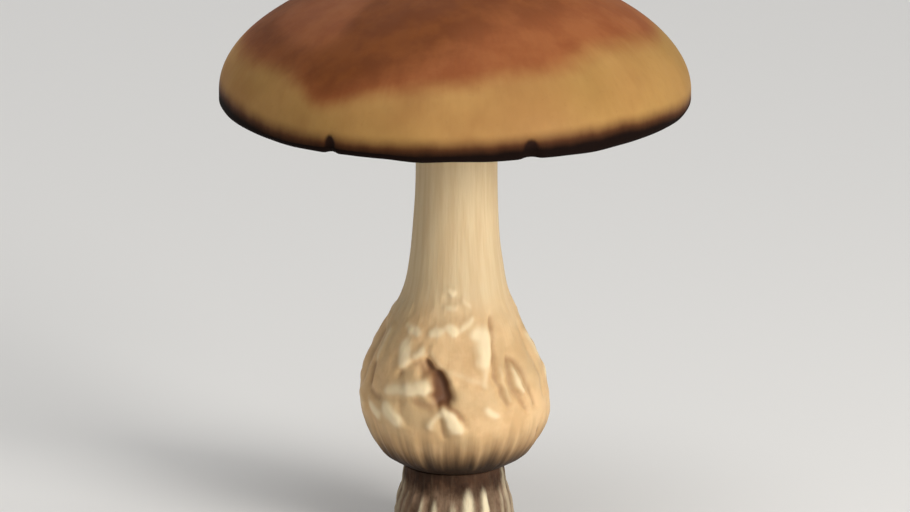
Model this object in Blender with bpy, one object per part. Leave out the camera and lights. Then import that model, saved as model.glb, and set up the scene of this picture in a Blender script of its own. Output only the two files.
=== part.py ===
"""A gilled mushroom with a domed cap and a lumpy bulb, cut off flat where it left the ground.

Metres, +Z up. The origin is the middle of the flat cut that it stands on, and the side of the
bulb with the deep hollow faces -Y. Every piece is turned round the Z axis from its outline, then
pressed into its grown shape by moving the vertices.
"""

import math
from collections import namedtuple

import bmesh
import bpy

# Overall size
CAP_RADIUS = 0.0500
CAP_TOP = 0.1250
CAP_SHOULDER = 0.0978    # where the dome meets the upright margin
MARGIN_HEIGHT = 0.0945   # the lowest edge of the cap
CLEARANCE = 0.0003       # between neighbouring pieces

# Cap
DOME_RADIUS_POWER = 1.50   # the dome is a superellipse with long, straight flanks
DOME_HEIGHT_POWER = 1.94
DOME_CROWN_POWER = 0.50    # added to the radius power at the crown, which rounds it off
MARGIN_ROLL = 0.0012       # radius of the rounded under-edge
LIP_RADIUS = 0.0478        # where the flesh leaves the margin and rises to the stem
LIP_HEIGHT = 0.0952
FLESH_CEILING = 0.1090     # underside of the flesh at the middle
FLESH_POWER = 3.0
CAP_WAVES = ((2, 0.0030, 0.6), (3, 0.0022, 2.1), (5, 0.0016, 4.0))   # count, share of radius, phase

# Gills
GILL_INNER_RADIUS = 0.0097
GILL_OUTER_RADIUS = 0.0469
GILL_EDGE_HEIGHT = 0.0950
GILL_EDGE_RISE = 0.0085    # how far the edges sweep up beside the stem
GILL_EDGE_POWER = 4.0
GILL_CLEARANCE = 0.0005    # below the flesh, which is made of longer facets

# Stem and bulb: radius and height of the points that its outline passes through
STEM_TOP = FLESH_CEILING - CLEARANCE
CREASE_HEIGHT = 0.0160     # the pinch between the bulb and the foot
CREASE_RADIUS = 0.0108
STEM_OUTLINE = (
    (CREASE_RADIUS, CREASE_HEIGHT),
    (0.0128, 0.0170),
    (0.0148, 0.0183),
    (0.0170, 0.0208),
    (0.0191, 0.0246),
    (0.0201, 0.0300),
    (0.0190, 0.0372),
    (0.0143, 0.0470),
    (0.0112, 0.0540),
    (0.0098, 0.0612),
    (0.0089, 0.0720),
    (0.0087, 0.0900),
    (0.0090, STEM_TOP),
)

# Foot: flared and fluted by its strands
FOOT_TOP = CREASE_HEIGHT - CLEARANCE
FOOT_OUTLINE = (
    (0.0138, 0.0000),
    (0.0123, 0.0045),
    (0.0119, 0.0078),
    (0.0109, 0.0115),
    (0.0105, FOOT_TOP),
)
FOOT_STRANDS = 18
STRAND_RELIEF = 0.0005

# How finely each piece is turned
CAP_STEPS = 60
GILL_STEPS = 60
STEM_STEPS = 52
FOOT_STEPS = 72

# A swelling (relief above 0) or a hollow (below 0) on the bulb. The turn is in degrees from the
# front towards +X; the lean tips its long side clockwise, in degrees; the rest are in metres.
Swelling = namedtuple("Swelling", "turn height half_width half_height lean relief")
BULB_SWELLINGS = (
    Swelling(-9, 0.0395, 0.0022, 0.0062, -28, -0.0030),   # the deep hollow
    Swelling(-25, 0.0408, 0.0040, 0.0014, 25, -0.0012),   # its shallow arm
    Swelling(-23, 0.0366, 0.0042, 0.0020, 0, 0.0010),     # knob that juts into it
    Swelling(-40, 0.0432, 0.0018, 0.0042, 0, 0.0007),     # upright knob beside it
    Swelling(-41, 0.0352, 0.0030, 0.0018, 0, 0.0005),
    Swelling(22, 0.0440, 0.0030, 0.0062, -12, 0.0008),    # long raised panel
    Swelling(34, 0.0420, 0.0012, 0.0080, 0, -0.0007),     # furrow beside the panel
    Swelling(50, 0.0360, 0.0036, 0.0068, -18, -0.0008),   # almond-shaped scar
    Swelling(47, 0.0372, 0.0013, 0.0030, -15, 0.0009),    # its raised middle
    Swelling(-2, 0.0300, 0.0030, 0.0024, 0, 0.0009),      # arched knob low on the front
    Swelling(-41, 0.0294, 0.0038, 0.0016, -30, 0.0006),
    Swelling(-60, 0.0300, 0.0024, 0.0020, 0, 0.0006),
    Swelling(22, 0.0318, 0.0026, 0.0016, 0, 0.0005),
    Swelling(-74, 0.0385, 0.0022, 0.0046, 0, -0.0010),    # pit at the side
    Swelling(95, 0.0400, 0.0026, 0.0060, -20, -0.0012),   # the far side, grown in the same way
    Swelling(118, 0.0340, 0.0034, 0.0024, 0, 0.0009),
    Swelling(140, 0.0430, 0.0028, 0.0050, 10, 0.0007),
    Swelling(163, 0.0350, 0.0024, 0.0056, 20, -0.0016),
    Swelling(186, 0.0390, 0.0036, 0.0024, 0, 0.0009),
    Swelling(207, 0.0300, 0.0032, 0.0022, 0, 0.0008),
    Swelling(232, 0.0400, 0.0022, 0.0058, -15, -0.0011),
    Swelling(252, 0.0330, 0.0032, 0.0026, 0, 0.0008),
)


def clear_scene():
    """Remove every object, so that the script can be run again."""
    for item in list(bpy.data.objects):
        bpy.data.objects.remove(item, do_unlink=True)


def finish(name, colour, roughness):
    """A plain Principled material."""
    material = bpy.data.materials.new(name)
    material.use_nodes = True
    shader = material.node_tree.nodes["Principled BSDF"]
    shader.inputs["Base Color"].default_value = (*colour, 1.0)
    shader.inputs["Roughness"].default_value = roughness
    shader.inputs["Metallic"].default_value = 0.0
    return material


def smooth_curve(points, spans):
    """Points along a Catmull-Rom curve through the given ones, with this many steps to each."""
    ends = [points[0], *points, points[-1]]
    curve = []
    for before, start, stop, after in zip(ends, ends[1:], ends[2:], ends[3:]):
        for step in range(spans):
            share = step / spans
            curve.append(tuple(
                0.5 * (2 * s + (e - b) * share + (2 * b - 5 * s + 4 * e - a) * share ** 2
                       + (3 * s - b - 3 * e + a) * share ** 3)
                for b, s, e, a in zip(before, start, stop, after)
            ))
    curve.append(points[-1])
    return curve


def turn(name, outline, steps, material, shape, ring=False):
    """Turn an outline of (radius, height) points round Z, then shape each vertex."""
    form = bmesh.new()
    corners = [form.verts.new((radius, 0.0, height)) for radius, height in outline]
    pairs = list(zip(corners, corners[1:]))
    if ring:
        pairs.append((corners[-1], corners[0]))
    for pair in pairs:
        form.edges.new(pair)
    bmesh.ops.spin(
        form,
        geom=form.verts[:] + form.edges[:],
        cent=(0.0, 0.0, 0.0),
        axis=(0.0, 0.0, 1.0),
        angle=2 * math.pi,
        steps=steps,
        use_merge=True,
    )
    bmesh.ops.remove_doubles(form, verts=form.verts, dist=0.000001)
    for vert in form.verts:
        vert.co = shape(vert.co)
    bmesh.ops.recalc_face_normals(form, faces=form.faces)
    mesh = bpy.data.meshes.new(name)
    form.to_mesh(mesh)
    form.free()
    mesh.shade_smooth()
    mesh.set_sharp_from_angle(angle=math.radians(50))
    mesh.materials.append(material)
    piece = bpy.data.objects.new(name, mesh)
    bpy.context.scene.collection.objects.link(piece)
    return piece


def fade(value, start, stop):
    """0 before start and 1 after stop, with an eased step between them."""
    share = min(max((value - start) / (stop - start), 0.0), 1.0)
    return share * share * (3 - 2 * share)


def flesh_underside(radius):
    """Height of the cap's underside, which the tops of the gills follow."""
    return FLESH_CEILING - (FLESH_CEILING - LIP_HEIGHT) * (radius / LIP_RADIUS) ** FLESH_POWER


def cap_outline():
    """Over the dome from its top, down the upright margin, and back under to the middle."""
    dome_steps = 14
    outline = []
    for step in range(dome_steps + 1):
        share = math.sin(0.5 * math.pi * step / dome_steps) ** (2 / DOME_RADIUS_POWER)
        power = DOME_RADIUS_POWER + DOME_CROWN_POWER * (1 - share) ** 2
        rise = max(1 - share ** power, 0.0) ** (1 / DOME_HEIGHT_POWER)
        outline.append((CAP_RADIUS * share, CAP_SHOULDER + (CAP_TOP - CAP_SHOULDER) * rise))
    roll_steps = 4
    for step in range(roll_steps + 1):
        angle = 0.5 * math.pi * step / roll_steps
        outline.append((
            CAP_RADIUS - MARGIN_ROLL * (1 - math.cos(angle)),
            MARGIN_HEIGHT + MARGIN_ROLL * (1 - math.sin(angle)),
        ))
    flesh_steps = 7
    for step in range(flesh_steps + 1):
        radius = LIP_RADIUS * (1 - step / flesh_steps)
        outline.append((radius, flesh_underside(radius)))
    return outline


def gill_outline():
    """Along under the flesh from the stem to the margin, and back along the gill edges."""
    top_steps = 6
    edge_steps = 6
    width = GILL_OUTER_RADIUS - GILL_INNER_RADIUS
    outline = []
    for step in range(top_steps + 1):
        radius = GILL_INNER_RADIUS + width * step / top_steps
        outline.append((radius, flesh_underside(radius) - GILL_CLEARANCE))
    for step in range(edge_steps + 1):
        inward = step / edge_steps
        height = GILL_EDGE_HEIGHT + GILL_EDGE_RISE * inward ** GILL_EDGE_POWER
        outline.append((GILL_OUTER_RADIUS - width * inward, height))
    return outline


def wavy_cap(point):
    """The cap isn't quite round: its radius swells and shrinks by about half a per cent."""
    angle = math.atan2(point.x, -point.y)
    wave = sum(share * math.sin(count * angle + phase) for count, share, phase in CAP_WAVES)
    point.x *= 1 + wave
    point.y *= 1 + wave
    return point


def lumpy_bulb(point):
    """Press the bulb's knobs, scars and hollows into the turned stem."""
    radius = math.hypot(point.x, point.y)
    if radius < CREASE_RADIUS or point.z <= CREASE_HEIGHT:
        return point
    angle = math.atan2(point.x, -point.y)
    relief = 0.0
    for lump in BULB_SWELLINGS:
        turned = (angle - math.radians(lump.turn) + math.pi) % (2 * math.pi) - math.pi
        across = turned * radius
        along = point.z - lump.height
        lean = math.radians(lump.lean)
        side = across * math.cos(lean) - along * math.sin(lean)
        rise = across * math.sin(lean) + along * math.cos(lean)
        reach = (side / lump.half_width) ** 2 + (rise / lump.half_height) ** 2
        relief += lump.relief * math.exp(-0.7 * reach)
    scale = 1 + relief / radius
    point.x *= scale
    point.y *= scale
    return point


def fluted_foot(point):
    """The strands stand out as ribs, more and more towards the ground."""
    radius = math.hypot(point.x, point.y)
    if radius < CREASE_RADIUS:
        return point
    angle = math.atan2(point.x, -point.y)
    depth = STRAND_RELIEF * (1 - fade(point.z, 0.006, 0.013))
    scale = 1 + depth * math.cos(FOOT_STRANDS * angle) / radius
    point.x *= scale
    point.y *= scale
    return point


def make_cap():
    skin = finish("cap_skin", (0.300, 0.130, 0.045), 0.45)
    turn("cap", cap_outline(), CAP_STEPS, skin, wavy_cap)


def make_gills():
    blades = finish("gill_blades", (0.045, 0.018, 0.012), 0.80)
    turn("gills", gill_outline(), GILL_STEPS, blades, wavy_cap, ring=True)


def make_stem():
    flesh = finish("stem_flesh", (0.690, 0.520, 0.320), 0.60)
    side = smooth_curve(STEM_OUTLINE, 3)
    outline = [(0.0, CREASE_HEIGHT), *side, (0.0, STEM_TOP)]
    turn("stem", outline, STEM_STEPS, flesh, lumpy_bulb)


def make_foot():
    strands = finish("foot_strands", (0.160, 0.095, 0.050), 0.85)
    side = smooth_curve(FOOT_OUTLINE, 2)
    outline = [(0.0, 0.0), *side, (0.0, FOOT_TOP)]
    turn("foot", outline, FOOT_STEPS, strands, fluted_foot)


def main():
    clear_scene()
    make_cap()
    make_gills()
    make_stem()
    make_foot()


main()
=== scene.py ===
import math

import bpy
import numpy as np
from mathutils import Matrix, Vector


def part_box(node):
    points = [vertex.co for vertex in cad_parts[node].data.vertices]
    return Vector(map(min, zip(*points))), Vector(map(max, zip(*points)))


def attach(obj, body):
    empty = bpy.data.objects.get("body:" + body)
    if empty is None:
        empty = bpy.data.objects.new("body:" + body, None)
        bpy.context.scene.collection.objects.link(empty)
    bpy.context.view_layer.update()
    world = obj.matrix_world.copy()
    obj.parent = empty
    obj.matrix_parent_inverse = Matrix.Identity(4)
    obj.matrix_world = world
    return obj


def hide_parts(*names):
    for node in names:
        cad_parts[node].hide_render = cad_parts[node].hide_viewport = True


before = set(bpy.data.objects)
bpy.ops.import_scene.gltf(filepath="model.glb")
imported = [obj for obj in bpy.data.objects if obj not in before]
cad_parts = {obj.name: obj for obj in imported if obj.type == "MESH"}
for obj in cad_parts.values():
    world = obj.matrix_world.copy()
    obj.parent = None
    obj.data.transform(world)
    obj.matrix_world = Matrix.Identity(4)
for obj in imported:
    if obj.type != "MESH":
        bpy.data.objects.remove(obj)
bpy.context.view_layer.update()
mm = 0.001
fullTurn = 2 * math.pi
tallest = 0.13      # metres, a little above the top of the cap


class Wire:
    # one shader socket that can be used in sums; a wire with no socket only adds nodes
    def __init__(self, tree, socket=None):
        self.tree = tree
        self.socket = socket

    def node(self, kind, settings, values, output=0):
        # settings go in before the sockets are filled, because some of them change the sockets
        made = self.tree.nodes.new("ShaderNode" + kind)
        for name, value in settings.items():
            setattr(made, name, value)
        for name, value in values.items():
            if isinstance(value, Wire):
                self.tree.links.new(value.socket, made.inputs[name])
            else:
                made.inputs[name].default_value = value
        return Wire(self.tree, made.outputs[output])

    def calculate(self, operation, *values):
        return self.node("Math", {"operation": operation}, dict(enumerate(values)))

    def __add__(self, other):
        return self.calculate("ADD", self, other)

    def __sub__(self, other):
        return self.calculate("SUBTRACT", self, other)

    def __rsub__(self, other):
        return self.calculate("SUBTRACT", other, self)

    def __mul__(self, other):
        return self.calculate("MULTIPLY", self, other)

    __radd__ = __add__
    __rmul__ = __mul__


def easeWire(value, start, stop):
    # 0 before start and 1 after stop
    limits = {"From Min": start, "From Max": stop, "To Min": 0.0, "To Max": 1.0}
    return value.node("MapRange", {"interpolation_type": "SMOOTHSTEP"}, {"Value": value, **limits})


def blendColours(share, first, second):
    # sockets 0, 6 and 7 of a colour Mix are its factor and its two colours
    return share.node("Mix", {"data_type": "RGBA"}, {0: share, 6: first, 7: second}, output=2)


def noiseWire(place, scale, detail=3.0, rough=0.5, twist=0.0):
    # from 0 to 1, mostly between 0.3 and 0.7
    return place.node("TexNoise", {}, {"Vector": place, "Scale": scale, "Detail": detail,
                                       "Roughness": rough, "Distortion": twist})


def startMaterial(name):
    # gives the place on the piece too, in metres from the middle of the flat cut
    material = bpy.data.materials.new(name)
    material.use_nodes = True
    tree = material.node_tree
    place = Wire(tree).node("TexCoord", {}, {}, output="Object")
    return material, tree, place


def upWire(place):
    return place.node("SeparateXYZ", {}, {"Vector": place}, output="Z")


def flatWire(place):
    # the place without its height, measured from the mushroom's middle
    return place.node("VectorMath", {"operation": "MULTIPLY"}, {0: place, 1: (1.0, 1.0, 0.0)})


def roundPlace(place, stretch):
    # the direction round the stem with the height times stretch, so that noise makes upright fibres
    around = place.node("VectorMath", {"operation": "NORMALIZE"}, {0: flatWire(place)})
    tall = place.node("CombineXYZ", {}, {"Z": upWire(place) * stretch})
    return place.node("VectorMath", {"operation": "ADD"}, {0: around, 1: tall})


def readMask(tree, name):
    # a value that was worked out with the mesh and stored on its points
    return Wire(tree).node("Attribute", {"attribute_name": name}, {}, output="Fac")


def finishMaterial(tree, colour, roughness, bump, look):
    # what varies feeds colour, roughness and the bump; the rest are plain numbers on the shader
    shader = tree.nodes["Principled BSDF"]
    tree.links.new(colour.socket, shader.inputs["Base Color"])
    tree.links.new(roughness.socket, shader.inputs["Roughness"])
    relief = bump.node("Bump", {}, {"Height": bump, "Distance": look["bumpDepth"], "Strength": 1.0})
    tree.links.new(relief.socket, shader.inputs["Normal"])
    shader.inputs["Specular IOR Level"].default_value = look["gloss"]
    shader.inputs["Subsurface Weight"].default_value = look["glow"]
    shader.inputs["Subsurface Radius"].default_value = look["glowReach"]
    shader.inputs["Subsurface Scale"].default_value = look["glowScale"]


def paint(red, green, blue):
    # a colour as it looks on screen, 0 to 255, turned into light
    def light(value):
        share = value / 255
        return share / 12.92 if share <= 0.04045 else ((share + 0.055) / 1.055) ** 2.4
    return (light(red), light(green), light(blue), 1.0)


def ease(value, start, stop):
    share = np.clip((value - start) / (stop - start), 0.0, 1.0)
    return share * share * (3 - 2 * share)


def smoothCurve(points, places):
    # the value at each place, along a smooth curve through points of (value, place)
    points = sorted(points, key=lambda point: point[1])
    value = np.array([point[0] for point in points])
    level = np.array([point[1] for point in points])
    slope = np.gradient(value, level)
    found = np.clip(np.searchsorted(level, places) - 1, 0, len(level) - 2)
    gap = level[found + 1] - level[found]
    share = np.clip((places - level[found]) / gap, 0.0, 1.0)
    first = (1 + 2 * share) * (1 - share) ** 2 * value[found]
    second = share * (1 - share) ** 2 * gap * slope[found]
    third = share ** 2 * (3 - 2 * share) * value[found + 1]
    fourth = share ** 2 * (share - 1) * gap * slope[found + 1]
    return first + second + third + fourth


def aroundCurve(points, turn):
    # the same, round the whole mushroom, with places in degrees from the front
    whole = [(value, place + lap) for lap in (-360, 0, 360) for value, place in points]
    return smoothCurve(whole, np.degrees(np.mod(turn + math.pi, fullTurn) - math.pi))


def grain(turn, height, cells, pitch, seed):
    # smooth noise from -1 to 1, with so many cells round the stem and one each pitch up it
    dice = np.random.default_rng(seed)
    layers = 3 + int(math.ceil(tallest / pitch))
    lattice = dice.uniform(-1, 1, (layers, cells))
    across = np.mod(turn / fullTurn, 1.0) * cells
    up = height / pitch
    column = np.floor(across).astype(int)
    layer = np.clip(np.floor(up).astype(int), 0, layers - 2)
    sideShare = ease(across - column, 0.0, 1.0)
    upShare = ease(up - layer, 0.0, 1.0)
    left = column % cells
    right = (column + 1) % cells
    low = lattice[layer, left] * (1 - sideShare) + lattice[layer, right] * sideShare
    high = lattice[layer + 1, left] * (1 - sideShare) + lattice[layer + 1, right] * sideShare
    return low * (1 - upShare) + high * upShare


def turnFrom(angle, degrees):
    # the signed angle from a direction given in degrees, the short way round
    return np.mod(angle - math.radians(degrees) + math.pi, fullTurn) - math.pi


def skin(name, rings, masks):
    # rings is rows x columns x 3, from the top down; the first and last rows become one point each
    rows, columns, _ = rings.shape
    ids = np.arange(rows * columns).reshape(rows, columns)
    keep = np.ones(rows * columns, dtype=bool)
    for row in (0, rows - 1):
        keep[ids[row, 1:]] = False
        ids[row, :] = ids[row, 0]
    ids = (np.cumsum(keep) - 1)[ids]
    faces = []
    for row in range(rows - 1):
        upper = ids[row]
        lower = ids[row + 1]
        nextUpper = np.roll(upper, -1)
        nextLower = np.roll(lower, -1)
        if row == 0:
            corners = [upper, lower, nextLower]
        elif row == rows - 2:
            corners = [upper, lower, nextUpper]
        else:
            corners = [upper, lower, nextLower, nextUpper]
        faces += np.stack(corners, axis=1).tolist()
    mesh = bpy.data.meshes.new(name)
    mesh.from_pydata(rings.reshape(-1, 3)[keep].tolist(), [], faces)
    for maskName, values in masks.items():
        layer = mesh.attributes.new(maskName, "FLOAT", "POINT")
        layer.data.foreach_set("value", values.reshape(-1)[keep].astype(np.float32))
    mesh.shade_smooth()
    piece = bpy.data.objects.new(name, mesh)
    bpy.context.scene.collection.objects.link(piece)
    return piece


def turnedGrid(outlineRadius, outlineHeight, columns):
    # one row for each point of the outline and one column for each step round the middle
    angle = np.linspace(0, fullTurn, columns, endpoint=False)[None, :]
    radius = outlineRadius[:, None] * np.ones_like(angle)
    height = outlineHeight[:, None] * np.ones_like(angle)
    turn = angle * np.ones_like(radius)
    return radius, height, turn


def roundRings(radius, height, angle):
    # the front of the mushroom, at angle 0, faces -Y
    return np.stack([radius * np.sin(angle), -radius * np.cos(angle), height], axis=2)


def skinWithEnds(name, rings, masks, bottom, top):
    # the rings run upwards here, so their faces are turned over; flat ends close them at these heights
    columns = rings.shape[1]
    first = np.tile((0.0, 0.0, bottom), (1, columns, 1))
    last = np.tile((0.0, 0.0, top), (1, columns, 1))
    plain = np.zeros((1, columns))
    masks = {maskName: np.concatenate([plain, values, plain]) for maskName, values in masks.items()}
    piece = skin(name, np.concatenate([first, rings, last]), masks)
    piece.data.flip_normals()
    return piece


capLook = {
    "columns": 460,
    "domeRows": 90,
    "wallRows": 10,
    "marginRows": 22,
    "fleshRows": 36,
    "radius": 50.0 * mm,
    "domeRadiusPower": 1.50,
    "domeHeightPower": 1.94,
    "crownPower": 0.50,
    "shoulderDrop": 27.2 * mm,      # from the top of the cap to its upright margin
    "roll": 1.2 * mm,               # rounded under-edge
    "lipRadius": 47.8 * mm,
    "lipHeight": 95.2 * mm,
    "fleshCeiling": 109.0 * mm,
    "fleshPower": 3.0,
    # how the cap isn't quite round: how many waves, how deep as a share of the radius, and where they start
    "waves": ((2, 0.0030, 0.6), (3, 0.0022, 2.1), (5, 0.0016, 4.0)),
    "dents": 0.35 * mm,
    "dentedFrom": (5 * mm, 24 * mm),        # away from the middle, where the dents start and are full
    "rimUneven": 0.25 * mm,
    "rimTop": (95.5 * mm, 99.0 * mm),       # heights between which the uneven margin dies out
    "rimInside": (44 * mm, 47 * mm),        # away from the middle, where it starts and is full
    # height in mm, round the cap in degrees, where the ochre margin turns russet and russet turns umber
    "russetLine": ((107.8, -84), (107.7, -72), (108.6, -58), (108.2, -50), (106.2, -43.5),
                   (103.8, -38), (103.7, -34), (106.0, -27), (108.1, -16), (109.3, -4),
                   (110.1, 10), (110.9, 28), (112.1, 46), (111.8, 62), (110.2, 82),
                   (109.0, 120), (106.8, 160), (108.4, 205), (106.8, 240)),
    "umberLine": ((109.0, -84), (109.2, -60), (109.0, -50), (106.4, -40), (106.2, -35),
                  (109.0, -26), (112.4, -14), (116.0, 0), (118.8, 18), (119.6, 45),
                  (119.0, 80), (114.0, 130), (111.0, 170), (114.5, 215), (111.0, 250)),
    # where the umber thins to russet on the less-lit left, the cap's own colour with a painted reddish
    # sheen: degrees round the cap, half width, from and to heights in mm, and how much
    "blush": (-66.0, 30.0, 110.5, 117.0, 14.0),
    # nicks in the margin: degrees round the cap, half width in degrees, height in mm
    "nicks": ((-31.8, 1.35, 2.1), (18.7, 1.85, 2.3), (104.0, 1.2, 1.8),
              (149.0, 1.0, 2.2), (203.0, 1.3, 1.7), (251.0, 1.1, 2.3)),
    "nickBase": 96.6,                       # height in mm below which a nick has its full width
    "nickRise": 0.3 * mm,
    "nickDepth": 0.5 * mm,
    # height in mm, round the cap in degrees, where the ochre margin has half faded to the dark edge, the
    # margin's own dark brown with painted shade where it rolls under
    "rimLine": ((99.6, -84), (99.1, -66), (98.1, -42), (98.2, -20), (98.6, 0), (99.0, 25), (99.3, 44),
                (99.0, 60), (97.9, 80), (98.0, 120), (99.0, 150), (98.2, 190), (99.1, 225), (98.4, 255)),
    # in mm above that line: where the dark brown starts and is full, then where the black starts and is
    # full; both hold painted shade
    "fade": (1.9, -1.6),
    "dark": (-0.2, -3.0),
    "honey": paint(177, 135, 80),
    "ochre": paint(163, 120, 70),
    "olive": paint(156, 122, 66),
    "russet": paint(150, 90, 52),
    "rust": paint(139, 79, 44),
    "umber": paint(122, 67, 27),
    "deepUmber": paint(108, 57, 23),
    "fibre": paint(96, 56, 32),
    "fibresFrom": (10 * mm, 34 * mm),       # away from the middle, where the fibres start and are full
    # dark brown of the rolled margin, with painted shade where it turns under
    "marginBrownAndShade": paint(74, 35, 16),
    "stain": paint(32, 12, 5),
    # black painted shade on the lowest rim and on the underside under the cap
    "edgeBlackAndShade": paint(16, 4, 1),
    "bumpDepth": 0.16 * mm,
    "gloss": 0.09,
    "glow": 0.10,
    "glowReach": (1.0, 0.4, 0.2),
    "glowScale": 1.5 * mm,
}


def capWave(angle):
    # how much wider or narrower than round the cap is in each direction
    return 1 + sum(share * np.sin(count * angle + phase) for count, share, phase in capLook["waves"])


def fleshHeight(radius):
    # the hollow underside of the cap, which the gills hang from
    look = capLook
    drop = look["fleshCeiling"] - look["lipHeight"]
    return look["fleshCeiling"] - drop * (radius / look["lipRadius"]) ** look["fleshPower"]


def capProfile():
    # from the top of the dome down its outside, round the margin and in along the underside
    look = capLook
    low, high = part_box("cap")
    full = look["radius"]
    margin = low[2]
    shoulder = high[2] - look["shoulderDrop"]
    share = np.sin(0.5 * math.pi * np.linspace(0, 1, look["domeRows"])) ** (2 / look["domeRadiusPower"])
    power = look["domeRadiusPower"] + look["crownPower"] * (1 - share) ** 2
    rise = np.maximum(1 - share ** power, 0.0) ** (1 / look["domeHeightPower"])
    dome = np.stack([full * share, shoulder + look["shoulderDrop"] * rise], axis=1)
    straight = np.linspace(shoulder, margin + look["roll"], look["wallRows"] + 2)[1:-1]
    wall = np.stack([np.full(len(straight), full), straight], axis=1)
    angle = np.linspace(0, 0.5 * math.pi, look["marginRows"])
    roll = np.stack([full - look["roll"] * (1 - np.cos(angle)),
                     margin + look["roll"] * (1 - np.sin(angle))], axis=1)
    inward = np.linspace(look["lipRadius"], 0, look["fleshRows"])
    flesh = np.stack([inward, fleshHeight(inward)], axis=1)
    return np.concatenate([dome, wall, roll, flesh])


def makeCap():
    look = capLook
    profile = capProfile()
    radius, height, turn = turnedGrid(profile[:, 0], profile[:, 1], look["columns"])
    outside = np.zeros(len(profile))
    outside[:look["domeRows"] + look["wallRows"]] = 1.0
    outside = outside[:, None]

    # each mask is the height in mm above its line, and the underside counts as below the last one, so it is
    # painted black as shade
    russet = (height / mm - aroundCurve(look["russetLine"], turn)) * outside
    umber = (height / mm - aroundCurve(look["umberLine"], turn)) * outside
    # the russet patch on the left is partly painted sheen that lightens the less-lit side
    blushTurn, blushWide, blushFrom, blushTo, blushMuch = look["blush"]
    beside = turnFrom(turn, blushTurn) / math.radians(blushWide)
    umber = umber - blushMuch * np.exp(-beside ** 2) * ease(height / mm, blushFrom, blushTo) * outside
    aboveAll = 110
    edge = height / mm - aroundCurve(look["rimLine"], turn) * outside - aboveAll * (1 - outside)

    # broad dents in the dome, and a margin that isn't quite level
    broadDents = grain(turn, radius, cells=9, pitch=17 * mm, seed=11)
    smallDents = grain(turn, radius, cells=21, pitch=8 * mm, seed=12)
    dents = broadDents + 0.5 * smallDents
    height = height + outside * look["dents"] * dents * ease(radius, *look["dentedFrom"])
    onMargin = ease(radius, *look["rimInside"])
    rim = (1 - ease(height, *look["rimTop"])) * onMargin
    uneven = grain(turn, radius, cells=40, pitch=50 * mm, seed=13)
    height = height + rim * look["rimUneven"] * uneven
    nick = np.zeros_like(height)
    for nickTurn, nickWide, nickTall in look["nicks"]:
        across = turnFrom(turn, nickTurn) / math.radians(nickWide)
        along = (height / mm - look["nickBase"]) / nickTall
        nick = np.maximum(nick, np.exp(-0.7 * (across ** 2 + np.maximum(along, 0) ** 2) ** 1.6))
    nick = nick * onMargin
    height = height + nick * rim * look["nickRise"]
    radius = (radius - nick * look["nickDepth"]) * capWave(turn)
    masks = {"russet": russet, "umber": umber, "nick": nick, "edge": edge}
    piece = skin("capSkin", roundRings(radius, height, turn), masks)
    piece.data.materials.append(capMaterial())
    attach(piece, "root")
    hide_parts("cap")


def capMaterial():
    look = capLook
    material, tree, place = startMaterial("brownCapSkin")
    cloud = noiseWire(place, 34.0, twist=0.3)
    fineCloud = noiseWire(place, 120.0, detail=4.0, rough=0.55)
    fibrePlace = roundPlace(place, 10.0)
    away = place.node("VectorMath", {"operation": "LENGTH"}, {0: flatWire(place)}, output="Value")
    # the fibres die out towards the middle of the cap, where they would all meet
    fibreShare = easeWire(away, *look["fibresFrom"])
    fibres = (noiseWire(fibrePlace, 30.0, rough=0.55) - 0.5) * fibreShare + 0.5

    # ochre round the margin, then russet, then umber, each edge soft and cloudy
    drift = (cloud - 0.5) * 4.2 + (fineCloud - 0.5) * 1.2 + (fibres - 0.5) * 0.6
    warm = easeWire(readMask(tree, "russet") + drift, -2.3, 2.6)
    brown = easeWire(readMask(tree, "umber") + drift * 1.3, -3.5, 4.0)
    ochreShare = easeWire(noiseWire(place, 60.0), 0.36, 0.64)
    oliveShare = easeWire(noiseWire(place, 24.0, detail=2.0), 0.42, 0.70) * 0.7
    ochre = blendColours(ochreShare, look["honey"], look["ochre"])
    ochre = blendColours(oliveShare, ochre, look["olive"])
    russet = blendColours(easeWire(fineCloud, 0.36, 0.64), look["russet"], look["rust"])
    umber = blendColours(easeWire(fineCloud, 0.36, 0.64), look["umber"], look["deepUmber"])
    colour = blendColours(warm, ochre, russet)
    colour = blendColours(brown, colour, umber)

    # fine fibres that run from the middle to the margin, and tiny specks
    colour = blendColours(easeWire(fibres, 0.36, 0.72) * 0.05, colour, look["fibre"])
    specks = easeWire(noiseWire(place, 900.0, detail=2.0), 0.62, 0.74)
    colour = blendColours(specks * 0.06, colour, look["fibre"])

    # the dark under-edge, which creeps up in ragged streaks: the margin's own dark brown with painted shade
    # where the rim rolls under, and black painted shade on the underside
    tongues = noiseWire(fibrePlace, 9.0)
    ragged = readMask(tree, "edge") + (tongues - 0.5) * 1.3 + (fibres - 0.5) * 0.4
    fading = 1 - easeWire(ragged, look["fade"][1], look["fade"][0])
    dark = 1 - easeWire(ragged, look["dark"][1], look["dark"][0])
    stain = easeWire(readMask(tree, "nick") + (fineCloud - 0.5) * 0.5, 0.20, 0.75)
    colour = blendColours(fading * 0.92, colour, look["marginBrownAndShade"])
    colour = blendColours(stain * 0.95, colour, look["stain"])
    colour = blendColours(dark, colour, look["edgeBlackAndShade"])

    roughness = 0.50 + noiseWire(place, 220.0) * 0.16 + dark * 0.25
    pores = noiseWire(place, 420.0, detail=4.0, rough=0.6)
    bump = pores * 0.35 + fibres * 0.25 + noiseWire(place, 90.0) * 0.4
    finishMaterial(tree, colour, roughness, bump, look)
    return material


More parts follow.
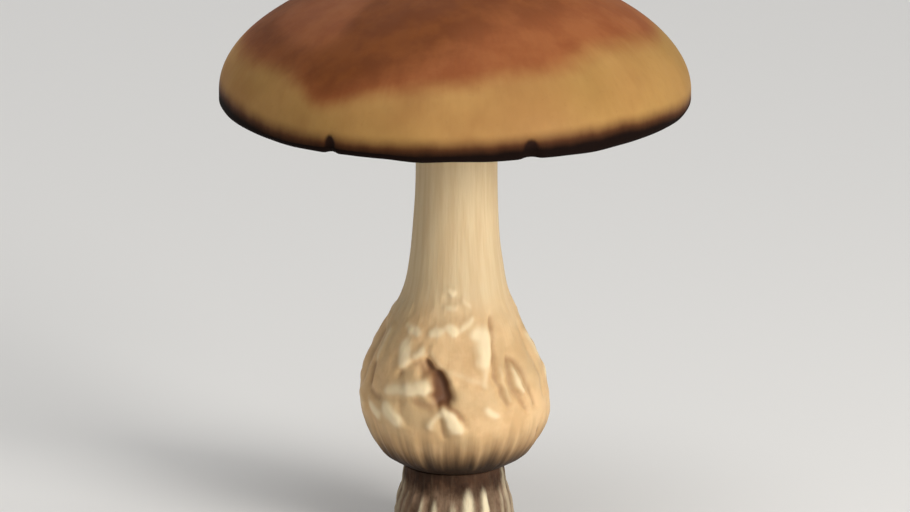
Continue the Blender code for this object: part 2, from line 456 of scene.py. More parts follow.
gillLook = {
    "full": 96,                   # blades that reach the stem; the shorter ones stand between them
    "innerRadius": 9.7 * mm,
    "outerRadius": 47.3 * mm,
    "lastRadius": 47.6 * mm,      # the flesh isn't followed further out than this
    "sunk": 0.15 * mm,            # how far the tops stand in the flesh
    "halfStart": 0.42,            # where the shorter blades start, as a share of the way out
    "quarterStart": 0.70,
    "startJitter": 0.07,
    "turnJitter": 0.12,           # as a share of the gap between two blades
    "edgeHeight": 95.0 * mm,
    "edgeRise": 8.5 * mm,         # higher than that at the stem
    "uneven": 0.15 * mm,
    "paleEdge": (95.2 * mm, 96.6 * mm),     # heights between which the paler edge fades out
    "flesh": paint(58, 34, 30),
    "deepFlesh": paint(38, 20, 20),
    "wornFlesh": paint(96, 70, 58),
    "thickTop": 0.42 * mm,
    "thickEdge": 0.12 * mm,
    "sway": 0.25 * mm,
    "swayLength": 7 * mm,
    "bumpDepth": 0.08 * mm,
    "gloss": 0.25,
    "glow": 0.0,
    "glowReach": (1.0, 0.3, 0.1),
    "glowScale": 0.5 * mm,
}


def gillBlade(turn, start, dice):
    # rows down one side of a thin blade and up the other, its top sunk a little into the flesh
    look = gillLook
    outward = np.linspace(start, 1.0, 5 + int(13 * (1 - start)))
    radius = look["innerRadius"] + (look["outerRadius"] - look["innerRadius"]) * outward
    top = fleshHeight(np.minimum(radius, look["lastRadius"])) + look["sunk"]
    edge = look["edgeHeight"] + look["edgeRise"] * (1 - outward) ** 4
    reach = ease(outward, start - 0.001, start + 0.16) if start > 0 else np.ones_like(outward)
    edge = top - (top - edge) * np.maximum(reach, 0.04) + dice.uniform(-look["uneven"], look["uneven"])
    edge = np.minimum(edge, top - 0.1 * mm)
    phase = dice.uniform(0, fullTurn)
    wave = look["sway"] * np.sin(radius / look["swayLength"] + phase) / radius
    levels = np.linspace(0, 1, 4)[:, None]
    height = top + (edge - top) * levels
    half = 0.5 * (look["thickTop"] + (look["thickEdge"] - look["thickTop"]) * levels) / radius
    angle = turn + wave * (0.4 + 0.6 * levels)
    left = roundRings(radius * np.ones_like(height), height, angle - half)
    right = roundRings(radius * np.ones_like(height), height, angle + half)
    return np.concatenate([left, right[::-1]], axis=0)


def makeGills():
    look = gillLook
    dice = np.random.default_rng(31)
    starts = (0.0, look["quarterStart"], look["halfStart"], look["quarterStart"])
    points = []
    faces = []
    count = look["full"] * len(starts)
    used = 0
    for index in range(count):
        start = starts[index % len(starts)]
        if start > 0:
            start = start + dice.uniform(-look["startJitter"], look["startJitter"])
        turn = fullTurn * (index + dice.uniform(-look["turnJitter"], look["turnJitter"])) / count
        loop = gillBlade(turn, start, dice)
        rows, columns, _ = loop.shape
        ids = np.arange(rows * columns).reshape(rows, columns) + used
        used += rows * columns
        for row in range(rows):
            upper = ids[row]
            lower = ids[(row + 1) % rows]
            faces += np.stack([upper[:-1], upper[1:], lower[1:], lower[:-1]], axis=1).tolist()
        # both ends are closed with quads from the left side to the right
        left = ids[:rows // 2]
        right = ids[:rows // 2 - 1:-1]
        faces += np.stack([left[:-1, 0], left[1:, 0], right[1:, 0], right[:-1, 0]], axis=1).tolist()
        faces += np.stack([right[:-1, -1], right[1:, -1], left[1:, -1], left[:-1, -1]], axis=1).tolist()
        points.append(loop.reshape(-1, 3))
    mesh = bpy.data.meshes.new("gillBlades")
    mesh.from_pydata(np.concatenate(points).tolist(), [], faces)
    mesh.flip_normals()
    mesh.shade_smooth()
    mesh.set_sharp_from_angle(angle=math.radians(40))
    piece = bpy.data.objects.new("gillBlades", mesh)
    bpy.context.scene.collection.objects.link(piece)
    piece.data.materials.append(gillMaterial())
    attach(piece, "root")
    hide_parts("gills")


def gillMaterial():
    look = gillLook
    material, tree, place = startMaterial("darkGillFlesh")
    cloud = noiseWire(place, 150.0, detail=4.0)
    colour = blendColours(easeWire(cloud, 0.35, 0.65), look["flesh"], look["deepFlesh"])
    edge = 1 - easeWire(upWire(place), *look["paleEdge"])
    colour = blendColours(edge * 0.6, colour, look["wornFlesh"])
    roughness = 0.7 + cloud * 0.2
    finishMaterial(tree, colour, roughness, noiseWire(place, 900.0), look)
    return material


stemLook = {
    "columns": 470,
    "bulbRows": 166,
    "shaftRows": 40,
    "bulbTop": 58 * mm,
    # radius and height, from the crease under the bulb to the flesh of the cap, in mm
    "outline": ((10.8, 16.0), (12.8, 17.0), (14.8, 18.3), (17.0, 20.8), (19.1, 24.6),
                (20.1, 30.0), (19.0, 37.2), (14.3, 47.0), (11.2, 54.0), (9.8, 61.2),
                (8.9, 72.0), (8.7, 90.0), (9.0, 108.7)),
    # how far the middle stands to the right, and at what height, in mm
    "lean": ((0.0, 16.0), (0.05, 20.0), (0.22, 25.5), (0.0, 30.0), (-0.35, 34.5),
             (-0.55, 39.0), (-0.40, 44.0), (-0.05, 51.0), (0.18, 57.0), (0.15, 66.0),
             (0.30, 76.0), (0.30, 108.7)),
    "wander": 0.30 * mm,            # how far the noise bends the outlines of the bulb's marks
    # the pale tops are narrower than the knobs, so they also paint a highlight on each knob's middle
    "knobSpread": 1.25,             # how much wider the knobs are than their pale tops
    "softenRounds": 5,
    "maskRounds": 3,
    # each pair below is the two heights between which something sets in or dies out
    "pucker": 0.15 * mm,
    "puckerFrom": (20 * mm, 27 * mm),
    "puckerTo": (50 * mm, 57 * mm),
    "gather": 0.30 * mm,
    "gatherFrom": (16.4 * mm, 18.5 * mm),
    "gatherTo": (23.0 * mm, 28.0 * mm),
    "fibreRelief": 0.010 * mm,
    "fibresFrom": (44 * mm, 56 * mm),
    "plainBase": 0.8 * mm,          # above the crease, before the relief is full
    "tanTo": (44 * mm, 58 * mm),
    # heights of the painted shade under the bulb and of the painted shadow in the crease
    "shadeTo": (18.8 * mm, 29.2 * mm),
    "creaseTo": (17.4 * mm, 23.6 * mm),
    "cream": paint(216, 192, 152),
    "butter": paint(208, 181, 140),
    "straw": paint(190, 163, 120),
    "tan": paint(226, 190, 142),
    "deepTan": paint(212, 174, 126),
    "ivory": paint(244, 224, 184),
    "cinnamon": paint(138, 94, 60),
    # dark brown of the deepest hollows, with painted shade in them
    "hollowBrownAndShade": paint(94, 58, 36),
    # the bulb's browner underside with painted shade, and painted shadow in the crease
    "shade": paint(116, 84, 52),
    "creaseShadow": paint(38, 22, 11),
    "bumpDepth": 0.16 * mm,
    "gloss": 0.28,
    "glow": 0.12,
    "glowReach": (1.0, 0.55, 0.3),
    "glowScale": 1.6 * mm,
}

# Marks grown into the bulb. Each runs through points of (degrees from the front, height, half width),
# then says how far it stands out, how pale (above 0) or brown (below 0) it is, and how crisp; all in mm.
bulbMarks = (
    # the hollow, deepest along its right wall, with its tail and its shallow arm
    (((-10.5, 39.5, 1.2), (-6.4, 37.2, 1.7), (-5.2, 35.2, 1.8), (-4.2, 33.7, 0.9)), -2.3, -1.0, 1.8),
    (((-20.0, 42.4, 0.5), (-15.5, 40.8, 0.9), (-10.0, 39.3, 1.2)), -1.9, -0.80, 1.8),
    (((-12.0, 38.2, 1.4), (-9.5, 36.2, 1.9), (-8.5, 34.4, 1.6)), -1.6, -1.0, 1.4),
    (((-22.0, 41.0, 0.7), (-18.0, 39.8, 1.0), (-12.5, 38.6, 1.3)), -1.3, -0.65, 1.4),
    (((-3.0, 33.5, 0.7), (1.2, 32.4, 0.6), (5.0, 30.9, 0.45), (6.6, 28.8, 0.3)), -0.9, -0.75, 1.0),
    (((-38.0, 39.0, 0.6), (-34.0, 40.7, 0.75), (-28.5, 41.4, 0.6), (-22.0, 41.9, 0.7)), -0.8, -0.55, 1.0),
    (((-15.5, 44.4, 0.6), (-9.5, 42.3, 0.7), (-4.0, 40.3, 0.75), (-0.5, 38.0, 0.6)), 0.6, 0.35, 1.07),
    (((-30.0, 38.9, 0.6), (-22.0, 40.4, 0.5)), 0.35, 0.15, 1.0),
    (((-43.5, 35.7, 1.3), (-31.0, 36.4, 1.35)), 0.6, 0.70, 1.1),
    (((-28.0, 36.8, 1.5), (-16.4, 37.4, 1.7)), 1.2, 1.0, 1.31),
    (((-40.0, 44.9, 1.3), (-35.8, 41.6, 1.4)), 0.45, 0.85, 1.1),
    (((-29.0, 42.8, 0.7), (-24.5, 44.1, 0.9)), 0.55, 0.75, 1.07),
    # a row of small lumps above it
    (((-66.5, 46.8, 0.6), (-66.0, 44.8, 0.6)), 0.4, 0.60, 1.07),
    (((-47.0, 48.3, 0.8), (-43.0, 48.2, 0.8)), 0.30, 0.50, 1.07),
    (((-39.0, 47.9, 0.9), (-33.0, 47.5, 1.0)), 0.40, 0.80, 1.07),
    (((-20.0, 47.4, 0.8), (-12.0, 48.1, 0.9)), 0.45, 0.90, 1.1),
    (((-5.0, 48.8, 0.75), (0.5, 47.9, 0.85)), 0.6, 1.0, 1.21),
    (((6.5, 48.5, 0.7), (17.0, 50.4, 0.6)), 0.45, 0.70, 1.1),
    (((-65.5, 43.8, 0.7), (-64.5, 41.0, 0.7)), 0.45, 0.60, 1.07),
    # small wrinkles above the row
    (((-8.0, 56.2, 0.6), (-1.0, 55.8, 0.65)), 0.42, 0.95, 1.1),
    (((8.0, 54.2, 0.6), (14.0, 53.2, 0.55)), 0.35, 0.60, 1.07),
    (((-8.0, 52.6, 0.6), (0.0, 52.7, 0.6)), 0.38, 0.65, 1.07),
    (((-10.0, 54.4, 0.4), (4.0, 54.3, 0.4)), -0.30, -0.25, 1.0),
    (((-12.0, 50.9, 0.4), (6.0, 50.9, 0.4)), -0.25, -0.25, 1.0),
    # the wedge-shaped panel and the long furrow that it ends at
    (((19.5, 47.3, 1.4), (26.5, 47.3, 1.9)), 0.6, 0.85, 1.3),
    (((26.5, 47.0, 1.9), (24.0, 44.6, 1.8), (23.0, 42.0, 1.3)), 0.7, 0.90, 1.3),
    (((23.0, 42.0, 1.2), (22.4, 39.6, 1.0), (21.0, 37.6, 0.8)), 0.5, 0.50, 1.1),
    (((-4.0, 40.2, 0.8), (6.5, 39.7, 0.9)), 0.35, 0.40, 1.0),
    (((10.5, 38.9, 0.9), (19.0, 38.3, 0.9)), 0.3, 0.40, 1.0),
    (((38.8, 50.8, 0.35), (36.2, 49.3, 0.5), (34.4, 47.9, 0.6), (32.9, 45.2, 0.65), (30.0, 41.3, 0.65),
      (29.4, 38.9, 0.6), (31.8, 35.5, 0.6), (35.0, 32.4, 0.4)), -0.85, -0.55, 1.0),
    (((34.5, 40.5, 0.5), (34.3, 37.0, 0.6), (37.0, 33.4, 0.5)), 0.5, 0.35, 1.07),
    # the eye-shaped scar
    (((43.0, 39.6, 0.6), (44.8, 37.4, 0.85), (47.3, 35.0, 0.6)), 0.9, 0.70, 1.18),
    (((44.5, 41.6, 0.5), (40.5, 40.2, 0.7), (39.2, 38.2, 0.8), (41.0, 35.6, 0.85), (45.5, 33.2, 0.8),
      (50.0, 31.2, 0.5)), -0.8, -0.52, 1.0),
    (((44.5, 41.8, 0.5), (49.5, 41.0, 0.8), (54.5, 38.2, 0.95), (56.4, 35.3, 0.9), (59.0, 31.8, 0.5)),
     -0.9, -0.52, 1.0),
    # low knobs, the arched one and the brown dips between them
    (((-45.5, 31.5, 1.5), (-37.5, 29.5, 1.7)), 0.65, 0.95, 1.14),
    (((-60.0, 31.2, 1.0), (-53.0, 30.0, 1.1)), 0.45, 0.85, 1.07),
    (((-5.6, 32.7, 1.1), (-2.2, 31.2, 1.4), (0.4, 28.7, 1.35)), 0.9, 1.0, 1.21),
    (((-6.5, 32.2, 0.8), (-12.5, 31.0, 0.7), (-15.8, 28.8, 0.8)), 0.55, 0.60, 1.07),
    (((-8.6, 30.6, 0.4), (-8.2, 28.4, 0.5), (-7.0, 26.5, 0.3)), -0.6, -0.50, 1.0),
    (((20.5, 32.2, 0.9), (25.5, 31.0, 1.0)), 0.5, 0.75, 1.1),
    (((-63.0, 34.2, 0.8), (-52.0, 33.4, 1.1)), -0.5, -0.55, 1.0),
    (((-34.5, 33.6, 0.8), (-35.0, 31.0, 0.7), (-30.0, 28.8, 0.5)), -0.45, -0.40, 1.0),
    (((-25.0, 34.0, 1.1), (-15.0, 33.0, 1.5)), -0.3, -0.52, 1.0),
    (((-67.0, 39.2, 1.1), (-66.0, 35.8, 1.1)), -0.8, -0.60, 1.0),
    (((-80.0, 45.0, 1.1), (-77.0, 39.5, 1.4), (-80.0, 35.0, 1.0)), -0.6, -0.45, 1.0),
    (((-78.0, 32.8, 1.0), (-72.0, 30.5, 1.1)), 0.6, 0.50, 1.1),
    # the right side and the back, grown in the same way
    (((64.5, 25.6, 0.5), (66.0, 23.4, 0.6)), -0.6, -0.60, 1.0),
    (((74.0, 46.5, 0.6), (72.0, 42.0, 0.9), (75.0, 37.0, 0.9), (73.0, 32.5, 0.6)), -0.5, -0.30, 1.0),
    (((81.0, 44.4, 1.2), (85.0, 40.0, 1.5)), 0.35, 0.55, 1.14),
    (((94.0, 42.6, 0.6), (98.5, 39.8, 1.3), (101.0, 36.6, 1.3), (98.0, 34.2, 0.6)), -1.7, -0.9, 1.7),
    (((87.0, 35.6, 1.1), (93.5, 36.4, 1.2)), 0.4, 0.80, 1.18),
    (((109.0, 41.0, 0.8), (112.0, 37.5, 1.0), (108.5, 34.0, 0.8)), 0.7, 0.55, 1.14),
    (((113.0, 31.6, 1.0), (123.0, 30.4, 1.1)), 0.7, 0.60, 1.14),
    (((124.0, 48.5, 0.3), (127.0, 43.5, 0.6), (123.5, 38.5, 0.6), (127.0, 33.5, 0.4)), -0.8, -0.50, 1.0),
    (((135.0, 46.8, 1.2), (139.0, 43.4, 1.8), (141.0, 39.6, 1.0)), 0.75, 0.85, 1.21),
    (((150.0, 38.8, 0.8), (149.5, 34.6, 0.9)), 0.6, 0.50, 1.14),
    (((156.0, 40.4, 0.6), (162.5, 38.0, 1.4), (165.5, 35.2, 1.6), (160.0, 32.8, 0.9)), -2.2, -1.0, 1.8),
    (((165.0, 42.0, 0.7), (178.0, 40.9, 0.9)), 0.6, 0.50, 1.1),
    (((174.0, 36.6, 1.1), (189.0, 37.9, 1.2)), 0.8, 0.75, 1.18),
    (((197.0, 48.5, 0.3), (199.0, 43.5, 0.6), (195.5, 39.5, 0.6), (199.0, 34.0, 0.4)), -0.7, -0.50, 1.0),
    (((173.0, 30.8, 0.9), (182.0, 29.6, 1.0)), 0.6, 0.50, 1.14),
    (((201.0, 31.4, 1.0), (210.0, 29.8, 1.1)), 0.7, 0.60, 1.14),
    (((213.0, 45.4, 1.0), (217.5, 40.4, 1.2)), 0.7, 0.60, 1.14),
    (((222.0, 36.0, 0.4), (227.0, 32.6, 0.6), (226.0, 28.8, 0.4)), -0.6, -0.45, 1.0),
    (((227.0, 43.2, 0.6), (232.5, 40.6, 1.2), (235.0, 37.4, 0.9)), -1.4, -0.8, 1.5),
    (((240.0, 34.4, 1.1), (251.0, 33.4, 1.3)), 0.8, 0.65, 1.18),
    (((241.0, 41.6, 0.7), (246.0, 39.4, 0.9)), 0.6, 0.50, 1.1),
    (((256.0, 46.6, 0.7), (258.0, 42.6, 0.9)), 0.5, 0.45, 1.1),
    (((264.0, 41.0, 0.4), (260.0, 37.5, 0.7), (265.0, 33.0, 0.4)), -0.6, -0.50, 1.0),
)


def markReach(turn, height, radius, points):
    # how far each place is from the line of points, in half widths of the line
    closest = np.full(turn.shape, 9.0)
    for start, stop in zip(points, points[1:]):
        fromAcross = turnFrom(turn, start[0]) * radius / mm
        fromUp = height / mm - start[1]
        runAcross = math.radians(stop[0] - start[0]) * radius / mm
        runUp = stop[1] - start[1]
        along = np.clip((fromAcross * runAcross + fromUp * runUp) / (runAcross ** 2 + runUp ** 2), 0, 1)
        away = np.hypot(fromAcross - along * runAcross, fromUp - along * runUp)
        closest = np.minimum(closest, away / (start[2] + (stop[2] - start[2]) * along))
    return closest


def soften(field, rounds):
    # each round blends every point with its neighbours round the stem and up it
    for _ in range(rounds):
        field = 0.5 * field + 0.25 * (np.roll(field, 1, axis=1) + np.roll(field, -1, axis=1))
        field[1:-1] = 0.5 * field[1:-1] + 0.25 * (field[:-2] + field[2:])
    return field


def lumpsBehind():
    # the row of small pale lumps goes on round the back of the bulb's shoulder
    dice = np.random.default_rng(47)
    lumps = []
    turn = 102.0
    while turn < 286:
        level = dice.uniform(46.8, 50.0)
        wide = dice.uniform(1.5, 7.0)
        lift = dice.uniform(-0.9, 0.9)
        width = dice.uniform(0.55, 0.85)
        tone = dice.uniform(0.35, 0.85)
        lumps.append((((turn, level, width), (turn + wide, level + lift, width)), 0.5, tone, 1.3))
        turn += wide + dice.uniform(8.0, 17.0)
    return tuple(lumps)


def bulbRelief(turn, height, radius):
    # how far the surface stands out, in metres, with masks for its pale and its brown places
    look = stemLook
    sideBend = (grain(turn, height, cells=44, pitch=2.6 * mm, seed=48)
                + grain(turn, height, cells=90, pitch=1.4 * mm, seed=49))
    upBend = (grain(turn, height, cells=40, pitch=2.9 * mm, seed=50)
              + grain(turn, height, cells=84, pitch=1.5 * mm, seed=51))
    bentTurn = turn + look["wander"] * sideBend / radius
    bentHeight = height + look["wander"] * upBend
    raised = np.zeros(turn.shape)
    sunk = np.zeros(turn.shape)
    pale = np.zeros(turn.shape)
    brown = np.zeros(turn.shape)
    for points, relief, tone, crisp in bulbMarks + lumpsBehind():
        reach = markReach(bentTurn, bentHeight, radius, points)
        if relief > 0:
            raised = np.maximum(raised, relief * np.exp(-0.7 * (reach / look["knobSpread"]) ** (2 * crisp)))
            # pale colour narrower than the knob itself: the knob's own pale colour with a painted highlight
            # on its top
            pale = np.maximum(pale, tone * np.exp(-0.8 * reach ** 2))
        else:
            shape = np.exp(-0.7 * reach ** (2 * crisp))
            sunk = np.maximum(sunk, -relief * shape)
            brown = np.maximum(brown, -tone * shape)
    clear = 1 - 0.85 * ease(pale, 0.20, 0.95)
    relief = soften(raised - sunk * clear, look["softenRounds"]) * mm
    pale = soften(pale * (1 - brown * clear), look["maskRounds"])
    return relief, pale, soften(brown * clear, look["maskRounds"])


def makeStem():
    look = stemLook
    outline = [(radius * mm, height * mm) for radius, height in look["outline"]]
    base = outline[0][1]
    top = outline[-1][1]
    # the bulb's rows stand closer together towards the crease
    share = np.linspace(0, 1, look["bulbRows"])
    bulb = base + (look["bulbTop"] - base) * (0.35 * share ** 2 + 0.65 * share)
    shaft = np.linspace(look["bulbTop"], top, look["shaftRows"])[1:]
    level = np.concatenate([bulb, shaft])
    radius, height, turn = turnedGrid(smoothCurve(outline, level), level, look["columns"])

    # the bulb's sculpted side, with puckered skin between the marks
    onBulb = ease(height, *look["puckerFrom"]) * (1 - ease(height, *look["puckerTo"]))
    relief, pale, brown = bulbRelief(turn, height, radius)
    pucker = (grain(turn, height, cells=34, pitch=3.4 * mm, seed=41)
              + 0.6 * grain(turn, height, cells=70, pitch=1.9 * mm, seed=42))
    relief = relief + onBulb * look["pucker"] * pucker
    # upright folds under the bulb's widest part, which gather towards the crease
    under = ease(height, *look["gatherFrom"]) * (1 - ease(height, *look["gatherTo"]))
    gathers = (grain(turn, height, cells=50, pitch=14 * mm, seed=43)
               + 0.7 * grain(turn, height, cells=96, pitch=9 * mm, seed=44))
    relief = relief + under * look["gather"] * gathers
    # long fibres up the shaft
    shaftFibres = (grain(turn, height, cells=110, pitch=30 * mm, seed=45)
                   + grain(turn, height, cells=46, pitch=45 * mm, seed=46))
    onShaft = ease(height, *look["fibresFrom"])
    relief = relief + look["fibreRelief"] * shaftFibres * (0.3 + 0.7 * onShaft)
    radius = radius + relief * ease(height, base, base + look["plainBase"])

    rings = roundRings(radius, height, turn)
    rings[:, :, 0] += smoothCurve(look["lean"], level / mm)[:, None] * mm
    masks = {"pale": pale, "brown": brown, "gathers": gathers, "streaks": shaftFibres}
    piece = skinWithEnds("stemAndBulb", rings, masks, base, top)
    piece.data.materials.append(stemMaterial())
    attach(piece, "root")
    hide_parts("stem")


def stemMaterial():
    look = stemLook
    material, tree, place = startMaterial("creamStemFlesh")
    up = upWire(place)
    pale = readMask(tree, "pale")
    brown = readMask(tree, "brown")
    gathers = readMask(tree, "gathers")
    streaks = readMask(tree, "streaks")
    fibrePlace = roundPlace(place, 9.0)
    fibres = noiseWire(fibrePlace, 26.0)
    broad = noiseWire(fibrePlace, 6.0, detail=2.0)
    cloud = noiseWire(place, 150.0, detail=4.0, rough=0.6)
    softCloud = noiseWire(place, 60.0)

    cream = blendColours(easeWire(broad, 0.36, 0.64), look["cream"], look["butter"])
    fineFibres = easeWire(fibres + streaks * 0.04, 0.38, 0.70)
    cream = blendColours(fineFibres * 0.11, cream, look["straw"])
    tan = blendColours(easeWire(cloud, 0.36, 0.64), look["tan"], look["deepTan"])
    tan = blendColours(easeWire(softCloud, 0.44, 0.66) * 0.5, tan, look["straw"])
    onBulb = 1 - easeWire(up + (softCloud - 0.5) * 0.014, *look["tanTo"])
    colour = blendColours(onBulb, cream, tan)
    # pale knobs and patches: their own pale colour, narrowed to a painted highlight at their middles
    paleTops = easeWire(pale + (cloud - 0.5) * 0.35, 0.08, 0.85)
    scars = easeWire(brown + (cloud - 0.5) * 0.25, 0.12, 0.80)
    # the deepest sunk marks painted darkest: their own brown with painted shade in the hollows
    deepestBrownAndShade = easeWire(brown, 0.55, 0.95)
    colour = blendColours(paleTops * 0.88, colour, look["ivory"])
    colour = blendColours(scars * 0.85, colour, look["cinnamon"])
    colour = blendColours(deepestBrownAndShade * 0.85, colour, look["hollowBrownAndShade"])

    # darker towards the crease under the bulb, in upright streaks along its folds: the bulb's own browner
    # underside with painted shade where it turns from the light, and painted shadow deep in the crease
    streakNoise = noiseWire(roundPlace(place, 4.0), 13.0, detail=2.0)
    folds = gathers * 0.0010 + (streakNoise - 0.5) * 0.007
    low = 1 - easeWire(up + folds + (cloud - 0.5) * 0.002, *look["shadeTo"])
    colour = blendColours(low * 0.84, colour, look["shade"])
    creaseShadowShare = 1 - easeWire(up + folds * 0.5, *look["creaseTo"])
    colour = blendColours(creaseShadowShare * 0.97, colour, look["creaseShadow"])

    roughness = 0.52 + cloud * 0.2
    bump = fibres * 0.4 + noiseWire(place, 480.0, detail=4.0, rough=0.6) * 0.5 * onBulb
    finishMaterial(tree, colour, roughness, bump, look)
    return material


footLook = {
    "columns": 420,
    "rows": 90,
    "outline": ((13.8, 0.0), (12.3, 4.5), (11.9, 7.8), (10.9, 11.5), (10.5, 15.7)),  # radius, height, mm
    # strands: degrees from the front where they start and where they meet the ground, then starting
    # height, half width and relief in mm, and how pale they are
    "strands": (
        (-88, -93, 21.0, 2.0, 0.25, 0.50),
        (-70, -78, 17.0, 1.3, 0.35, 0.40),
        (-58, -65, 14.0, 0.9, 0.5, 0.32),
        (-48, -53, 12.0, 0.8, 0.5, 0.20),
        (-34, -38, 12.8, 0.75, 0.7, 0.56),
        (-21, -19, 12.2, 0.95, 0.6, 0.70),
        (-2, -1, 12.2, 1.0, 0.5, 0.50),
        (16, 13, 14.6, 1.5, 0.8, 0.86),
        (35, 30, 14.4, 1.1, 0.9, 0.95),
        (47, 45, 11.2, 0.8, 0.4, 0.25),
        (62, 54, 14.5, 0.9, 0.35, 0.40),
        (77, 73, 21.0, 1.8, 0.25, 0.46),
        (93, 91, 21.0, 1.6, 0.30, 0.42),
    ),
    "sway": 0.14,                   # how far a strand wanders to the side, in mm
    "lean": -0.25 * mm,             # the whole foot stands a little to the left
    "crumbs": 0.13 * mm,
    "threads": 0.05 * mm,
    "plainEnds": 0.6 * mm,          # at the top and the ground, where the crumbs die out
    "strandEnds": 2 * mm,           # how far under the bulb the strands die out
    # heights over which the painted shadow under the bulb sets in at the top of the foot
    "bulbShadowFrom": (9.2 * mm, 13.6 * mm),
    "crust": paint(132, 107, 86),
    "darkCrust": paint(102, 79, 60),
    # painted shadow from the bulb on the top of the foot
    "umber": paint(75, 50, 33),
    "deepUmber": paint(53, 33, 20),
    "thread": paint(148, 128, 101),
    "ivory": paint(236, 222, 188),
    "bumpDepth": 0.22 * mm,
    "gloss": 0.22,
    "glow": 0.05,
    "glowReach": (1.0, 0.5, 0.3),
    "glowScale": 1.0 * mm,
}


def strandsBehind():
    # the rest of the strands, round the back
    dice = np.random.default_rng(71)
    strands = []
    turn = 98.0
    while turn < 264:
        start = turn + dice.uniform(-3, 3)
        strands.append((start, start + dice.uniform(-6, 6), dice.uniform(11.5, 15.0),
                        dice.uniform(0.7, 1.25), dice.uniform(0.5, 0.9), dice.uniform(0.2, 1.0)))
        turn += dice.uniform(12, 18)
    return tuple(strands)


def makeFoot():
    look = footLook
    outline = [(radius * mm, height * mm) for radius, height in look["outline"]]
    top = outline[-1][1]
    level = np.linspace(0, top, look["rows"])
    radius, height, turn = turnedGrid(smoothCurve(outline, level), level, look["columns"])
    raised = np.zeros(height.shape)
    pale = np.zeros(height.shape)
    for startTurn, groundTurn, startHeight, halfWidth, tall, tone in look["strands"] + strandsBehind():
        fall = np.clip(1 - height / (startHeight * mm), 0, 1)
        middle = startTurn + (groundTurn - startTurn) * fall
        bend = grain(np.zeros_like(turn), height, cells=9, pitch=4.0 * mm, seed=int(startTurn) + 400)
        across = turnFrom(turn - np.radians(middle), 0) * radius / mm + look["sway"] * bend
        wide = halfWidth * (0.60 + 0.75 * fall)
        shape = np.exp(-0.7 * np.abs(across / wide) ** 3) * ease(fall, 0.0, 0.24)
        raised = np.maximum(raised, shape * tall * (0.5 + 0.8 * fall))
        pale = np.maximum(pale, np.exp(-0.9 * (across / wide) ** 2) * tone * ease(fall, 0.0, 0.34))
    crumbs = (grain(turn, height, cells=90, pitch=1.3 * mm, seed=72)
              + 0.7 * grain(turn, height, cells=46, pitch=3.0 * mm, seed=73))
    threads = grain(turn, height, cells=140, pitch=6.0 * mm, seed=74)
    free = ease(height, 0, look["plainEnds"]) * (1 - ease(height, top - look["plainEnds"], top))
    radius = radius + raised * mm * (1 - ease(height, top - look["strandEnds"], top))
    radius = radius + free * (look["crumbs"] * crumbs + look["threads"] * threads)
    rings = roundRings(radius, height, turn)
    rings[:, :, 0] += look["lean"]
    masks = {"pale": pale, "threads": threads}
    piece = skinWithEnds("rootingFoot", rings, masks, 0.0, top)
    piece.data.materials.append(footMaterial())
    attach(piece, "root")
    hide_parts("foot")


def footMaterial():
    look = footLook
    material, tree, place = startMaterial("brownFootCrust")
    up = upWire(place)
    pale = readMask(tree, "pale")
    threads = readMask(tree, "threads")
    cloud = noiseWire(place, 240.0, detail=4.0, rough=0.6)
    fibres = noiseWire(roundPlace(place, 26.0), 30.0, detail=4.0, rough=0.6)
    crust = blendColours(easeWire(cloud, 0.35, 0.65), look["crust"], look["darkCrust"])
    # the top of the foot darkened as painted shadow under the bulb; the fine threads fade out in it
    upper = blendColours(easeWire(cloud, 0.35, 0.65), look["umber"], look["deepUmber"])
    crown = easeWire(up + (cloud - 0.5) * 0.003 + threads * 0.0008, *look["bulbShadowFrom"])
    crust = blendColours(crown, crust, upper)
    fineThreads = easeWire(threads * 0.5 + fibres, 0.5, 0.95) * (1 - crown * 0.8) * 0.35
    colour = blendColours(fineThreads, crust, look["thread"])
    paleStrands = easeWire(pale + (fibres - 0.5) * 0.25, 0.10, 0.95)
    colour = blendColours(paleStrands, colour, look["ivory"])
    roughness = 0.68 + cloud * 0.2
    bump = fibres * 0.6 + noiseWire(place, 700.0, detail=4.0, rough=0.6) * 0.7
    finishMaterial(tree, colour, roughness, bump, look)
    return material


roomLook = {
    "floorSide": 14.0,
    "floorColour": (0.84, 0.835, 0.825, 1.0),
    "floorRoughness": 0.9,
    "floorGloss": 0.1,
    "skyColour": (0.96, 0.95, 0.93, 1.0),
    "skyStrength": 0.36,
    "lightHeight": 65 * mm,         # of the point that every lamp faces
    # lamps: degrees from the front and above level, how far away, how wide, how strong, and their colour
    "lamps": {
        "keyLight": (44, 19, 0.9, 0.40, 6.6, (1.0, 0.97, 0.92)),
        "topLight": (10, 80, 0.9, 0.60, 1.6, (1.0, 0.99, 0.97)),
        "backLight": (196, 48, 1.1, 0.90, 2.4, (0.97, 0.98, 1.0)),
    },
    "cameraAway": 4.0,
    "cameraRise": 15.05,            # degrees above level
    "viewWidth": 192.8 * mm,        # of the picture, where the mushroom stands
    "lookHeight": 61.1 * mm,
    "sensor": 36.0,
}


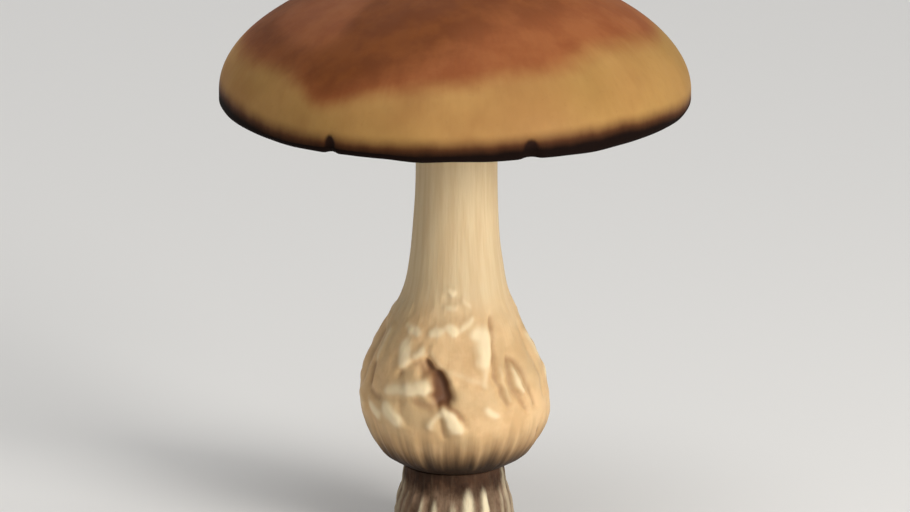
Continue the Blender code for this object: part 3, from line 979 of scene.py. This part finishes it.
def makeLamp(name, turnDegrees, riseDegrees, away, wide, strength, colour):
    lamp = bpy.data.lights.new(name, "AREA")
    lamp.shape = "DISK"
    lamp.size = wide
    lamp.energy = strength
    lamp.color = colour
    holder = bpy.data.objects.new(name, lamp)
    turn = math.radians(turnDegrees)
    rise = math.radians(riseDegrees)
    holder.location = (
        away * math.sin(turn) * math.cos(rise),
        -away * math.cos(turn) * math.cos(rise),
        roomLook["lightHeight"] + away * math.sin(rise),
    )
    holder.rotation_euler = (0.5 * math.pi - rise, 0.0, turn)
    holder.visible_camera = False
    bpy.context.scene.collection.objects.link(holder)


def makeRoom():
    look = roomLook
    half = look["floorSide"] / 2
    corners = [(-half, -half, 0), (half, -half, 0), (half, half, 0), (-half, half, 0)]
    mesh = bpy.data.meshes.new("floor")
    mesh.from_pydata(corners, [], [(0, 1, 2, 3)])
    floor = bpy.data.objects.new("floor", mesh)
    bpy.context.scene.collection.objects.link(floor)
    material = bpy.data.materials.new("paleFloor")
    material.use_nodes = True
    shader = material.node_tree.nodes["Principled BSDF"]
    shader.inputs["Base Color"].default_value = look["floorColour"]
    shader.inputs["Roughness"].default_value = look["floorRoughness"]
    shader.inputs["Specular IOR Level"].default_value = look["floorGloss"]
    mesh.materials.append(material)

    world = bpy.data.worlds.new("studio")
    world.use_nodes = True
    sky = world.node_tree.nodes["Background"]
    sky.inputs["Color"].default_value = look["skyColour"]
    sky.inputs["Strength"].default_value = look["skyStrength"]
    bpy.context.scene.world = world

    for name, settings in look["lamps"].items():
        makeLamp(name, *settings)


def makeCamera():
    look = roomLook
    lens = bpy.data.cameras.new("camera")
    lens.sensor_width = look["sensor"]
    lens.lens = look["sensor"] * look["cameraAway"] / look["viewWidth"]
    lens.dof.use_dof = False
    lens.clip_start = 0.05
    lens.clip_end = 30.0
    camera = bpy.data.objects.new("camera", lens)
    rise = math.radians(look["cameraRise"])
    camera.location = (0.0, -look["cameraAway"] * math.cos(rise),
                       look["lookHeight"] + look["cameraAway"] * math.sin(rise))
    camera.rotation_euler = (0.5 * math.pi - rise, 0.0, 0.0)
    bpy.context.scene.collection.objects.link(camera)
    bpy.context.scene.camera = camera


bpy.context.scene.view_settings.view_transform = "Standard"
makeCamera()
makeRoom()
print("room and camera made")
makeCap()
print("cap made")
makeGills()
print("gills made")
makeStem()
print("stem made")
makeFoot()
print("foot made")
